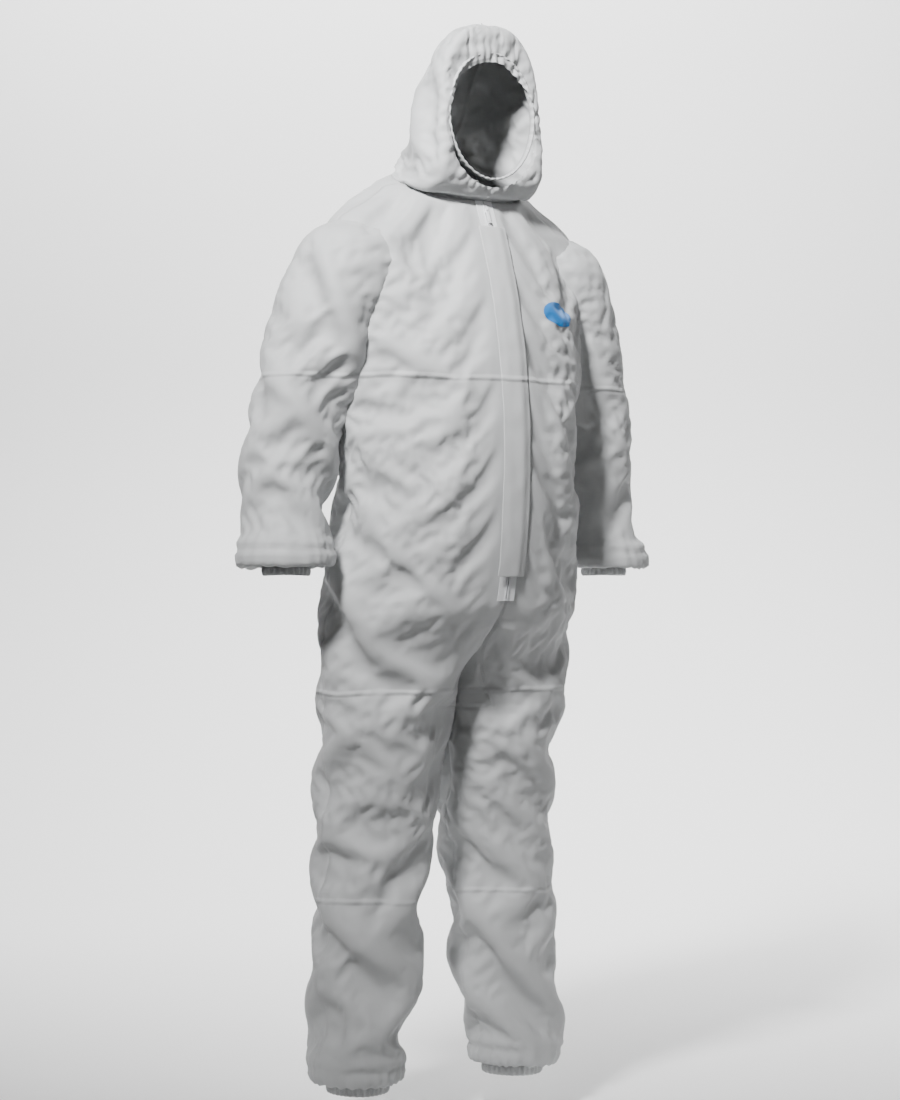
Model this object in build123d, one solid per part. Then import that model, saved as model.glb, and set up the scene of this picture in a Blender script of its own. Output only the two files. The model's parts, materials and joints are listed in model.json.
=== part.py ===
from build123d import *
import math
import os

# Hooded disposable coverall, held in the shape of a standing wearer.
# All sizes are in millimetres. Heights are measured up from the ankle hems, and
# the origin is the centre of the neck seam. The suit faces -Y, its wearer's left is +X.

NECK_HEIGHT = 1453.0
FABRIC = 2.0
SEAM_GAP = 0.3
NECK_GAP = 1.0
EDGE_POINTS = 16
ROW_STEPS = 2
PANEL_POINTS = 9

# Crotch: where the outline turns from one torso into two legs.
CROTCH_TOP = 725.0
CROTCH_FOOT = 652.0
CROTCH_STEPS = 5

# Centre front: the zip closes along one circular arc in the X = 0 plane.
FRONT_RADIUS = 1000.0
FRONT_CENTRE_Y = 846.0
FRONT_CENTRE_HEIGHT = 1014.0

# Torso, each row: height, half width, back Y, slope of the outline up towards the back.
# The front follows the centre-front arc.
TORSO_ROWS = [
    (1458.0, 106.0, 88.0, 0.42),
    (1449.0, 136.0, 95.0, 0.38),
    (1437.0, 168.0, 101.0, 0.32),
    (1421.0, 199.0, 108.0, 0.24),
    (1400.0, 224.0, 115.0, 0.16),
    (1372.0, 236.0, 122.0, 0.08),
    (1335.0, 236.0, 129.0, 0.02),
    (1290.0, 232.0, 135.0, 0.0),
    (1230.0, 224.0, 141.0, 0.0),
    (1160.0, 216.0, 147.0, 0.0),
    (1090.0, 210.0, 151.0, 0.0),
    (1020.0, 206.0, 154.0, 0.0),
    (950.0, 207.0, 160.0, 0.0),
    (880.0, 214.0, 174.0, 0.0),
    (820.0, 221.0, 186.0, 0.0),
]
# Seat below the zip, each row: height, half width, front Y, back Y.
SEAT_ROWS = [
    (780.0, 225.0, -124.0, 190.0),
    (745.0, 224.0, -108.0, 186.0),
    (715.0, 214.0, -86.0, 172.0),
    (685.0, 192.0, -54.0, 150.0),
    (660.0, 158.0, -14.0, 122.0),
]

# Legs, each row: height, centre X, half width, front Y, back Y.
LEG_ROWS = [
    (780.0, 108.0, 104.0, -66.0, 172.0),
    (740.0, 110.0, 114.0, -82.0, 177.0),
    (690.0, 112.0, 115.0, -76.0, 173.0),
    (630.0, 113.0, 108.0, -61.0, 165.0),
    (555.0, 112.0, 101.0, -45.0, 160.0),
    (470.0, 116.0, 93.0, -28.0, 158.0),
    (380.0, 124.0, 86.0, -18.0, 160.0),
    (280.0, 133.0, 84.0, -22.0, 158.0),
    (180.0, 142.0, 80.0, -20.0, 152.0),
    (100.0, 149.0, 77.0, -16.0, 143.0),
    (55.0, 152.0, 74.0, -12.0, 138.0),
    (30.0, 153.0, 65.0, -3.0, 129.0),
]
ANKLE_CENTRE = (153.0, 63.0)
ANKLE_RADIUS = 45.0
ANKLE_HEM_HEIGHT = 16.0

# Sleeves, each row: centre X, centre Y, height, angle from vertical, half width, half depth.
SLEEVE_ROWS = [
    (128.0, 8.0, 1378.0, 46.0, 36.0, 44.0),
    (162.0, 10.0, 1356.0, 44.0, 66.0, 66.0),
    (200.0, 14.0, 1323.0, 37.0, 84.0, 80.0),
    (234.0, 20.0, 1262.0, 24.0, 80.0, 82.0),
    (261.0, 30.0, 1180.0, 15.0, 75.0, 80.0),
    (282.0, 39.0, 1095.0, 12.0, 72.0, 77.0),
    (299.0, 40.0, 1005.0, 9.0, 69.0, 72.0),
    (307.0, 34.0, 935.0, 5.0, 63.0, 66.0),
    (311.0, 27.0, 892.0, 2.0, 70.0, 70.0),
    (313.0, 22.0, 864.0, 0.0, 75.0, 74.0),
    (313.0, 20.0, 846.0, 0.0, 63.0, 62.0),
]
WRIST_CENTRE = (313.0, 20.0)
WRIST_HEIGHT = 826.0
WRIST_RADIUS = 32.0
WRIST_HEM_HEIGHT = 13.0

# Armhole: an oval cut square to its own lean out from the vertical.
ARMHOLE_CENTRE = (205.0, 14.0, 1318.0)
ARMHOLE_LEAN = 37.0
ARMHOLE_HALF_WIDTH = 80.0
ARMHOLE_HALF_DEPTH = 76.0
ARMHOLE_REACH = 90.0

# Hood, each row: height, half width, front Y before the face plane cuts it, back Y, slope.
HOOD_ROWS = [
    (1458.0, 106.0, -62.0, 88.0, 0.42),
    (1466.0, 109.0, -88.0, 93.0, 0.40),
    (1479.0, 110.0, -128.0, 95.0, 0.36),
    (1500.0, 108.0, -168.0, 92.0, 0.30),
    (1530.0, 104.0, -200.0, 85.0, 0.20),
    (1570.0, 99.0, -222.0, 72.0, 0.10),
    (1615.0, 94.0, -215.0, 55.0, 0.04),
    (1655.0, 85.0, -188.0, 34.0, 0.0),
    (1686.0, 69.0, -146.0, 10.0, 0.0),
    (1706.0, 50.0, -115.0, -12.0, 0.0),
    (1716.0, 32.0, -93.0, -30.0, 0.0),
]
FACE_PLANE_Y = -93.0
FACE_HEIGHT = 1555.0
FACE_HALF_WIDTH = 79.0
FACE_HALF_HEIGHT = 97.0
HOOD_STRIP_HALF = 44.0

# Hem casings: folded fabric round a flat elastic.
HEM_WALL = 1.2
ELASTIC_THICK = 1.4
HEM_THICK = 2.0 * HEM_WALL + ELASTIC_THICK + 0.6
HEM_SLIT = 0.8
FACE_HEM_DEPTH = 9.0
HEM_PLAY = 0.3

# Side seam, as Y against height, from the shoulder down the flank and the leg.
SIDE_SEAM = [(1480.0, 12.0), (1200.0, 0.0), (1000.0, 4.0), (820.0, 34.0), (700.0, 54.0),
             (380.0, 71.0), (100.0, 63.0), (-20.0, 63.0)]

# Gusset: the diamond set into the crotch, as X against height.
GUSSET_TOP = 722.0
GUSSET_FOOT = 628.0
GUSSET_HALF = 46.0

# Zip, measured outwards from the centre-front arc.
ZIP_TOP = 1423.0
ZIP_FOOT = 786.0
ZIP_SLOT_HALF = 8.0
TAPE_HALF = 16.0
TAPE_OFFSETS = (0.6, 1.2)
COIL_GAP_HALF = 1.0
COIL_WIDTH = 2.4
COIL_OFFSETS = (1.2, 2.6)
SLIDER_HEIGHT = 1406.0
SLIDER_LENGTH = 13.0
SLIDER_HALF = 4.8
SLIDER_BACK = (-1.2, -0.2)
SLIDER_FRONT = (3.0, 3.8)
SLIDER_POST_HALF = 0.6
PIVOT_OFFSET = 4.9
PIN_RADIUS = 0.7
BRIDGE_BORE = 1.05
BRIDGE_RADIUS = 1.8
BRIDGE_HALF = 0.8
TAB_LENGTH = 24.0
TAB_HALF = 2.6
TAB_THICK = 1.1
TAB_WINDOW = 3.2
TAB_ARM_GAP = 1.3
STOP_LENGTH = 3.0

# Storm flap over the zip.
FLAP_TOP = 1380.0
FLAP_FOOT = 824.0
FLAP_LEFT = 29.0
FLAP_RIGHT = -27.0
FLAP_OFFSETS = (7.2, 8.4)
FLAP_LIP = 1.2
FLAP_LIP_OFFSET = 1.0

# Plain oval badge on the wearer's left chest.
BADGE_X = 119.0
BADGE_DEPTH = 105.0
BADGE_HEIGHT = 1256.0
BADGE_HALF_WIDTH = 36.0
BADGE_HALF_HEIGHT = 19.0
BADGE_TURN = 40.0
BADGE_THICK = 0.6

# Care label inside the back neck, and elastic across the back waist.
LABEL_HALF = 20.0
LABEL_LENGTH = 34.0
LABEL_THICK = 0.6
WAIST_HEIGHT = 958.0
WAIST_ELASTIC_WIDTH = 18.0
WAIST_ELASTIC_THICK = 1.2

REACH = 600.0


def front_y(height, offset=0.0):
    """Y of the centre front at a height, moved outwards by an offset."""
    rise = height - FRONT_CENTRE_HEIGHT
    return FRONT_CENTRE_Y - math.sqrt((FRONT_RADIUS + offset) ** 2 - rise ** 2)


def closed_edge(points):
    """Smooth closed wire through points given as X, Y and height."""
    places = [Vector(x, y, height - NECK_HEIGHT) for x, y, height in points]
    return Wire([Edge.make_spline(places, periodic=True)])


def between(rows):
    """Rows with smooth in-between rows added, on a Catmull-Rom curve."""
    padded = [rows[0]] + list(rows) + [rows[-1]]
    filled = []
    for index in range(1, len(padded) - 2):
        before, start, end, after = padded[index - 1:index + 3]
        for step in range(ROW_STEPS):
            t = step / ROW_STEPS
            weights = (0.5 * (2 * t ** 2 - t - t ** 3), 0.5 * (2 - 5 * t ** 2 + 3 * t ** 3),
                       0.5 * (t + 4 * t ** 2 - 3 * t ** 3), 0.5 * (t ** 3 - t ** 2))
            columns = zip(before, start, end, after)
            filled.append(tuple(sum(w * v for w, v in zip(weights, c)) for c in columns))
    return filled + [tuple(rows[-1])]


def egg(height, half_width, y_front, y_back, slope, centre_x):
    """Closed outline with its own front and back depths, rising towards the back."""
    middle = 0.5 * (y_front + y_back)
    depth = 0.5 * (y_back - y_front)
    points = []
    for step in range(EDGE_POINTS):
        angle = math.tau * step / EDGE_POINTS
        y = depth * math.sin(angle)
        x = centre_x + half_width * math.cos(angle)
        points.append((x, middle + y, height + slope * y))
    return closed_edge(points)


def ring_about(centre_x, centre_y, height, lean, half_width, half_depth):
    """Closed outline across a sleeve whose axis leans out from the vertical."""
    turn = math.radians(lean)
    points = []
    for step in range(EDGE_POINTS):
        angle = math.tau * step / EDGE_POINTS
        along = half_width * math.cos(angle)
        y = centre_y + half_depth * math.sin(angle)
        points.append((centre_x + along * math.cos(turn), y, height + along * math.sin(turn)))
    return closed_edge(points)


def box_between(low, high):
    """Axis-aligned box from two corners given as X, Y and height."""
    size = [high[i] - low[i] for i in range(3)]
    middle = [0.5 * (high[i] + low[i]) for i in range(3)]
    return Pos(middle[0], middle[1], middle[2] - NECK_HEIGHT) * Box(*size)


def torso_rows():
    """All torso rows as height, half width, front Y, back Y, slope and centre X."""
    rows = []
    for height, half_width, back, slope in TORSO_ROWS:
        front = front_y(height)
        for _ in range(4):
            front = front_y(height - slope * 0.5 * (back - front))
        rows.append((height, half_width, front, back, slope, 0.0))
    return rows + [row + (0.0, 0.0) for row in SEAT_ROWS]


def leg_rows():
    """All leg rows as height, half width, front Y, back Y, slope and centre X."""
    rows = [(h, w, f, b, 0.0, x) for h, x, w, f, b in LEG_ROWS]
    x, y = ANKLE_CENTRE
    radius = ANKLE_RADIUS + HEM_THICK
    return rows + [(ANKLE_HEM_HEIGHT, radius, y - radius, y + radius, 0.0, x)]


def hood_rows():
    """All hood rows, just above the neck seam, in the same order as the torso's."""
    return [(height + NECK_GAP, *rest, 0.0) for height, *rest in HOOD_ROWS]


def sleeve_rows():
    """All sleeve rows, down to the top of the wrist hem."""
    x, y = WRIST_CENTRE
    radius = WRIST_RADIUS + HEM_THICK
    return SLEEVE_ROWS + [(x, y, WRIST_HEIGHT + WRIST_HEM_HEIGHT, 0.0, radius, radius)]


def normal_share(rise, spread):
    """How far a wall's normal points sideways and up, from its rise and its spread."""
    length = math.hypot(rise, spread)
    return abs(rise) / length, -math.copysign(spread, spread * rise) / length


def inset_rows(rows, inset):
    """The same rows moved inwards along the wall's normal."""
    moved = []
    for index, row in enumerate(rows):
        before = rows[max(index - 1, 0)]
        after = rows[min(index + 1, len(rows) - 1)]
        rise = after[0] - before[0]
        side, up = normal_share(rise, after[1] - before[1])
        front_side, _ = normal_share(rise, after[2] - before[2])
        back_side, _ = normal_share(rise, after[3] - before[3])
        height, half_width, front, back, slope, centre_x = row
        moved.append((height - inset * up, half_width - inset * side,
                      front + inset * front_side, back - inset * back_side, slope, centre_x))
    return moved


def run_on(rows):
    """Rows with one more past each end, in line with the last two."""
    first = tuple(2 * a - b for a, b in zip(rows[0], rows[1]))
    last = tuple(2 * a - b for a, b in zip(rows[-1], rows[-2]))
    return first, last


def torso_solid(inset):
    """Torso from the neck seam to the crotch; the inset one runs out of the neck."""
    rows = between(torso_rows())
    if inset != 0:
        rows = inset_rows(rows, inset)
    if inset > 0:
        rows = [run_on(rows)[0]] + rows
    return Solid.make_loft([egg(*row) for row in rows])


def sleeve_solid(inset):
    """Left sleeve from inside the shoulder to the wrist hem; the inset one runs out of it."""
    rows = between(sleeve_rows())
    if inset > 0:
        moved = []
        for index, (x, y, height, lean, half_width, half_depth) in enumerate(rows):
            before = rows[max(index - 1, 0)]
            after = rows[min(index + 1, len(rows) - 1)]
            side, up = normal_share(after[2] - before[2], after[4] - before[4])
            moved.append((x, y, height - inset * up, lean, half_width - inset * side,
                          half_depth - inset * side))
        rows = moved + [run_on(moved)[1]]
    return Solid.make_loft([ring_about(*row) for row in rows])


def hood_solid(inset):
    """Hood with its flat face plane; the inset one runs out of the neck."""
    rows = between(hood_rows())
    if inset > 0:
        rows = inset_rows(rows, inset)
        rows = [run_on(rows)[0]] + rows
        height, *rest = rows[-1]
        rows[-1] = (hood_rows()[-1][0] - inset, *rest)
    behind = box_between((-REACH, FACE_PLANE_Y + inset, 0.0), (REACH, REACH, NECK_HEIGHT + REACH))
    return Solid.make_loft([egg(*row) for row in rows]) & behind


def armhole_prism():
    """Oval prism through the shoulder where the sleeve joins on."""
    turn = math.radians(ARMHOLE_LEAN)
    x, y, height = ARMHOLE_CENTRE
    place = Plane(origin=(x, y, height - NECK_HEIGHT), x_dir=(math.cos(turn), 0, math.sin(turn)),
                  z_dir=(math.sin(turn), 0, -math.cos(turn)))
    oval = Ellipse(ARMHOLE_HALF_WIDTH, ARMHOLE_HALF_DEPTH)
    return extrude(place * oval, amount=ARMHOLE_REACH, both=True)


def left_of_middle():
    """Everything on the wearer's left."""
    return box_between((0.0, -REACH, -REACH), (REACH, REACH, NECK_HEIGHT + REACH))


def with_mirror(shape):
    """A piece that crosses the middle, from its left half."""
    half = shape & left_of_middle()
    return half + mirror(half, about=Plane.YZ)


def gusset_region():
    """Prism whose triangular outline cuts the gusset out of the crotch."""
    corners = [(0.0, GUSSET_TOP), (GUSSET_HALF, GUSSET_FOOT), (-GUSSET_HALF, GUSSET_FOOT)]
    points = [(x, height - NECK_HEIGHT) for x, height in corners]
    sketch = Plane.XZ.offset(-REACH) * make_face(Polyline(*points, close=True))
    return extrude(sketch, amount=2 * REACH)


def arc_strip(x_low, x_high, offsets, low, high):
    """Strip bent to the centre-front arc, between two offsets and two heights."""
    corners = []
    for offset, first, last in ((offsets[0], low, high), (offsets[1], high, low)):
        middle = 0.5 * (first + last)
        for height in (first, middle, last):
            corners.append((front_y(height, offset), height - NECK_HEIGHT))
    inner = ThreePointArc(corners[0], corners[1], corners[2])
    outer = ThreePointArc(corners[3], corners[4], corners[5])
    closing = [Line(corners[2], corners[3]), Line(corners[5], corners[0])]
    face = make_face([inner, outer] + closing)
    return extrude(Plane.YZ.offset(x_low) * face, amount=x_high - x_low)


def seam_y(height):
    """Y of the side seam and the inseam at a height."""
    for (top, y_top), (low, y_low) in zip(SIDE_SEAM, SIDE_SEAM[1:]):
        if height >= low:
            return y_low + (y_top - y_low) * (height - low) / (top - low)
    return SIDE_SEAM[-1][1]


def row_at(rows, height):
    """Row at a height, read between the two rows on either side of it."""
    for upper, lower in zip(rows, rows[1:]):
        if height >= lower[0]:
            share = (height - lower[0]) / (upper[0] - lower[0])
            return tuple(low + share * (high - low) for low, high in zip(lower, upper))
    return rows[-1]


def row_point(row, angle):
    """Point on a row's outline at an angle counted from the wearer's left."""
    height, half_width, front, back, slope, centre_x = row
    y = 0.5 * (back - front) * math.sin(angle)
    return (centre_x + half_width * math.cos(angle), 0.5 * (front + back) + y, height + slope * y)


def outline_half(row, is_leg):
    """Points round the left half: front middle, side seam, back middle."""
    height, _, front, back, _, _ = row
    rise = (seam_y(height) - 0.5 * (front + back)) / (0.5 * (back - front))
    side = math.asin(max(-0.9, min(0.9, rise)))
    start = -math.pi - side if is_leg else -0.5 * math.pi
    end = math.pi - side if is_leg else 0.5 * math.pi
    points = []
    for first, last in ((start, side), (side, end)):
        steps = range(PANEL_POINTS) if first == start else range(1, PANEL_POINTS)
        points += [row_point(row, first + (last - first) * k / (PANEL_POINTS - 1)) for k in steps]
    return points


def half_suit_grid():
    """Rows of points over the left half, which pass from torso to leg at the crotch."""
    torso = between(torso_rows())
    leg = between(leg_rows())
    heights = [row[0] for row in torso if row[0] > CROTCH_TOP]
    span = CROTCH_TOP - CROTCH_FOOT
    heights += [CROTCH_TOP - span * k / CROTCH_STEPS for k in range(CROTCH_STEPS + 1)]
    heights += [row[0] for row in leg if row[0] < CROTCH_FOOT - 5.0]
    grid = []
    for height in heights:
        share = min(1.0, max(0.0, (CROTCH_TOP - height) / span))
        share = share * share * (3 - 2 * share)
        upper = outline_half(row_at(torso, height), False)
        lower = outline_half(row_at(leg, height), True)
        row = [tuple(u + share * (w - u) for u, w in zip(p, q)) for p, q in zip(upper, lower)]
        grid.append([(max(x, 0.0), y, z) for x, y, z in row])
    return grid


def lining_grid(grid):
    """The same points moved in by the fabric's thickness, along the surface's normal."""
    lining = []
    for i, row in enumerate(grid):
        above = grid[max(i - 1, 0)]
        below = grid[min(i + 1, len(grid) - 1)]
        moved = []
        is_ring = math.dist(row[0], row[-1]) < FABRIC
        for j, point in enumerate(row):
            before = Vector(*(row[-2] if j == 0 and is_ring else row[max(j - 1, 0)]))
            last = j == len(row) - 1
            after = Vector(*(row[1] if last and is_ring else row[min(j + 1, len(row) - 1)]))
            normal = (after - before).cross(Vector(*above[j]) - Vector(*below[j]))
            if abs(point[0]) < 0.5:
                normal = Vector(0, normal.Y, normal.Z)
            moved.append(Vector(*point) - normal.normalized() * FABRIC)
        lining.append([(p.X, p.Y, p.Z) for p in moved])
    for end in (0, -1):
        lining[end] = in_plane(grid[end], lining[end])
    return lining


def in_plane(row, moved):
    """Moved points of an end row, kept in that row's own plane."""
    front, back = row[0], row[-1]
    run = back[1] - front[1]
    slope = (back[2] - front[2]) / run if abs(run) > 1.0 else 0.0
    return [(x, y, point[2] + slope * (y - point[1])) for point, (x, y, _) in zip(row, moved)]


def open_edge(points):
    """Smooth open curve through points given as X, Y and height."""
    return Edge.make_spline([Vector(x, y, height - NECK_HEIGHT) for x, y, height in points])


def panel(grid, lining, first, last):
    """Strip of fabric between two columns of the grid, from neck to ankle."""
    wires = []
    for outer, inner in zip(grid, lining):
        face = open_edge(outer[first:last + 1])
        back = open_edge(inner[first:last + 1][::-1])
        turn = Edge.make_line(face @ 1, back @ 0)
        close = Edge.make_line(back @ 1, face @ 0)
        wires.append(Wire([face, turn, back, close]))
    return Solid.make_loft(wires, ruled=True)


def body_panels():
    """Fronts, backs, crotch gusset and sleeves, as two mirrored halves."""
    grid = half_suit_grid()
    lining = lining_grid(grid)
    side = PANEL_POINTS - 1
    slot = box_between((-ZIP_SLOT_HALF, -REACH, ZIP_FOOT), (ZIP_SLOT_HALF, 0.0, NECK_HEIGHT + 1.0))
    hole = armhole_prism()
    front = panel(grid, lining, 0, side) - hole - slot
    back = panel(grid, lining, side, 2 * side) - hole
    region = gusset_region()
    gusset = [front & region, back & region]
    gusset += [mirror(piece, about=Plane.YZ) for piece in gusset]
    front = front - region
    back = back - region
    sleeve = (sleeve_solid(0.0) - sleeve_solid(FABRIC)) - torso_solid(-2 * SEAM_GAP)
    return {
        "front_left": front,
        "front_right": mirror(front, about=Plane.YZ),
        "back_left": back,
        "back_right": mirror(back, about=Plane.YZ),
        "sleeve_left": sleeve,
        "sleeve_right": mirror(sleeve, about=Plane.YZ),
        "crotch_gusset": Compound(children=gusset),
    }


def face_prism(grow, y_low, y_high):
    """Oval prism through the face plane, grown beyond the clear opening."""
    oval = Ellipse(FACE_HALF_WIDTH + grow, FACE_HALF_HEIGHT + grow)
    place = Plane(origin=(0, y_high, FACE_HEIGHT - NECK_HEIGHT), x_dir=(1, 0, 0), z_dir=(0, -1, 0))
    return extrude(place * oval, amount=y_high - y_low)


def hood_panels():
    """Centre strip over the crown and the two side panels."""
    shell = hood_solid(0.0) - hood_solid(FABRIC)
    shell = shell - face_prism(HEM_THICK, FACE_PLANE_Y - REACH, FACE_PLANE_Y + 3 * FABRIC)
    strip = box_between((-HOOD_STRIP_HALF, -REACH, FACE_HEIGHT),
                        (HOOD_STRIP_HALF, REACH, NECK_HEIGHT + REACH))
    strip += box_between((-HOOD_STRIP_HALF, 0.0, 0.0), (HOOD_STRIP_HALF, REACH, FACE_HEIGHT))
    left = (shell - strip) & left_of_middle()
    return {
        "hood_centre_panel": with_mirror(shell & strip),
        "hood_left_panel": left,
        "hood_right_panel": mirror(left, about=Plane.YZ),
    }


def round_hem(centre, low, radius, width):
    """Folded casing with a slit along its inside, and the elastic that it holds."""
    place = Pos(centre[0], centre[1], low - NECK_HEIGHT)
    casing = Cylinder(radius + HEM_THICK, width, align=(Align.CENTER, Align.CENTER, Align.MIN))
    casing -= Cylinder(radius, width, align=(Align.CENTER, Align.CENTER, Align.MIN))
    cavity_low = HEM_WALL
    cavity_width = width - 2 * HEM_WALL
    lift = Pos(0, 0, cavity_low)
    cavity = Cylinder(radius + HEM_THICK - HEM_WALL, cavity_width,
                      align=(Align.CENTER, Align.CENTER, Align.MIN))
    cavity -= Cylinder(radius + HEM_WALL, cavity_width,
                       align=(Align.CENTER, Align.CENTER, Align.MIN))
    slit = Cylinder(radius + HEM_WALL, HEM_SLIT, align=(Align.CENTER, Align.CENTER, Align.MAX))
    casing = casing - lift * cavity - Pos(0, 0, width - HEM_WALL) * slit
    inside = radius + HEM_WALL + HEM_PLAY
    elastic_width = cavity_width - 2 * HEM_PLAY
    elastic = Cylinder(inside + ELASTIC_THICK, elastic_width,
                       align=(Align.CENTER, Align.CENTER, Align.MIN))
    elastic -= Cylinder(inside, elastic_width, align=(Align.CENTER, Align.CENTER, Align.MIN))
    return place * casing, place * Pos(0, 0, cavity_low + HEM_PLAY) * elastic


def face_hem():
    """Oval casing round the face, and its elastic."""
    low = FACE_PLANE_Y
    high = low + FACE_HEM_DEPTH
    casing = face_prism(HEM_THICK, low, high) - face_prism(0.0, low, high)
    cavity = face_prism(HEM_THICK - HEM_WALL, low + HEM_WALL, high - HEM_WALL)
    cavity -= face_prism(HEM_WALL, low + HEM_WALL, high - HEM_WALL)
    slit = face_prism(HEM_WALL, high - HEM_WALL - HEM_SLIT, high - HEM_WALL)
    casing = casing - cavity - slit
    inside = HEM_WALL + HEM_PLAY
    start = low + HEM_WALL + HEM_PLAY
    end = high - HEM_WALL - HEM_PLAY
    elastic = face_prism(inside + ELASTIC_THICK, start, end) - face_prism(inside, start, end)
    return casing, elastic


def zip_parts():
    """Tapes, coils, stops, slider and pull tab on the centre-front arc."""
    parts = {}
    coil_out = COIL_GAP_HALF + COIL_WIDTH
    coil_foot = ZIP_FOOT + STOP_LENGTH + 2 * HEM_PLAY + SLIDER_LENGTH
    tape = arc_strip(COIL_GAP_HALF, TAPE_HALF, TAPE_OFFSETS, ZIP_FOOT, ZIP_TOP)
    coil_top = SLIDER_HEIGHT + 0.5 * SLIDER_LENGTH + HEM_PLAY
    coil = arc_strip(COIL_GAP_HALF, coil_out, COIL_OFFSETS, coil_foot - SLIDER_LENGTH, coil_top)
    stop = arc_strip(COIL_GAP_HALF, coil_out, COIL_OFFSETS, coil_top, coil_top + STOP_LENGTH)
    parts["zip_tape_left"] = tape
    parts["zip_tape_right"] = mirror(tape, about=Plane.YZ)
    parts["zip_coil_left"] = coil
    parts["zip_coil_right"] = mirror(coil, about=Plane.YZ)
    parts["zip_top_stops"] = Compound(children=[stop, mirror(stop, about=Plane.YZ)])
    foot = coil_foot - SLIDER_LENGTH
    bridge = arc_strip(-coil_out, coil_out, (TAPE_OFFSETS[1], COIL_OFFSETS[1]),
                       foot - STOP_LENGTH, foot)
    parts["zip_bottom_stop"] = bridge
    return parts


def slider_plane():
    """Plane at the slider: local X outwards, local Y up along the zip."""
    rise = SLIDER_HEIGHT - FRONT_CENTRE_HEIGHT
    tilt = math.asin(rise / FRONT_RADIUS)
    outwards = (0.0, -math.cos(tilt), math.sin(tilt))
    origin = (0.0, front_y(SLIDER_HEIGHT), SLIDER_HEIGHT - NECK_HEIGHT)
    return Plane(origin=origin, x_dir=outwards, z_dir=(-1.0, 0.0, 0.0))


def slab(offset_low, offset_high, along_low, along_high, x_low, x_high):
    """Block in the slider's frame: outwards, along the zip, and across."""
    size = (offset_high - offset_low, along_high - along_low, x_high - x_low)
    centre = (0.5 * (offset_low + offset_high), 0.5 * (along_low + along_high),
              0.5 * (x_low + x_high))
    return Pos(*centre) * Box(*size)


def slider():
    """Front and back plates joined by a post, with the bridge for the pull tab."""
    half = 0.5 * SLIDER_LENGTH
    body = slab(*SLIDER_FRONT, -half, half, -SLIDER_HALF, SLIDER_HALF)
    body += slab(*SLIDER_BACK, -half, half, -SLIDER_HALF, SLIDER_HALF)
    body += slab(SLIDER_BACK[0], SLIDER_FRONT[1], 0.0, half, -SLIDER_POST_HALF, SLIDER_POST_HALF)
    bridge = Pos(PIVOT_OFFSET, 0, 0) * Cylinder(BRIDGE_RADIUS, 2 * BRIDGE_HALF)
    bridge += slab(SLIDER_FRONT[1], PIVOT_OFFSET, -BRIDGE_RADIUS, BRIDGE_RADIUS,
                   -BRIDGE_HALF, BRIDGE_HALF)
    bridge -= Pos(PIVOT_OFFSET, 0, 0) * Cylinder(BRIDGE_BORE, 2 * BRIDGE_HALF)
    return slider_plane() * (body + bridge)


def pull_tab():
    """Flat tab with a window at its top and the pin that turns in the bridge."""
    low = PIVOT_OFFSET - 0.5 * TAB_THICK
    high = PIVOT_OFFSET + 0.5 * TAB_THICK
    tab = slab(low, high, -TAB_LENGTH, PIN_RADIUS, -TAB_HALF, TAB_HALF)
    tab -= slab(low, high, -TAB_WINDOW, PIN_RADIUS, -TAB_ARM_GAP, TAB_ARM_GAP)
    tab += Pos(PIVOT_OFFSET, 0, 0) * Cylinder(PIN_RADIUS, 2 * TAB_HALF)
    hole_at = -TAB_LENGTH + TAB_HALF
    tab -= Pos(PIVOT_OFFSET, hole_at, 0) * Rot(0, 90, 0) * Cylinder(1.2, 2 * TAB_THICK)
    return slider_plane() * tab


def storm_flap():
    """Flap over the zip, with the lip along its sewn edge."""
    flap = arc_strip(FLAP_RIGHT, FLAP_LEFT, FLAP_OFFSETS, FLAP_FOOT, FLAP_TOP)
    lip = arc_strip(FLAP_LEFT - FLAP_LIP, FLAP_LEFT, (FLAP_LIP_OFFSET, FLAP_OFFSETS[1]),
                    FLAP_FOOT, FLAP_TOP)
    return flap + lip


def chest_badge():
    """Thin oval that follows the chest."""
    skin = torso_solid(-BADGE_THICK - SEAM_GAP) - torso_solid(-SEAM_GAP)
    turn = math.radians(BADGE_TURN)
    outwards = (math.sin(turn), -math.cos(turn), 0.0)
    start_x = BADGE_X - BADGE_DEPTH * math.tan(turn)
    place = Plane(origin=(start_x, 0.0, BADGE_HEIGHT - NECK_HEIGHT),
                  x_dir=(math.cos(turn), math.sin(turn), 0.0), z_dir=outwards)
    prism = extrude(place * Ellipse(BADGE_HALF_WIDTH, BADGE_HALF_HEIGHT), amount=REACH)
    return skin & prism


def lining_strip(thick, low_corner, high_corner):
    """Strip that follows the inside of the torso within a box."""
    band = torso_solid(FABRIC + SEAM_GAP) - torso_solid(FABRIC + SEAM_GAP + thick)
    return with_mirror(band & box_between(low_corner, high_corner))


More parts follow.
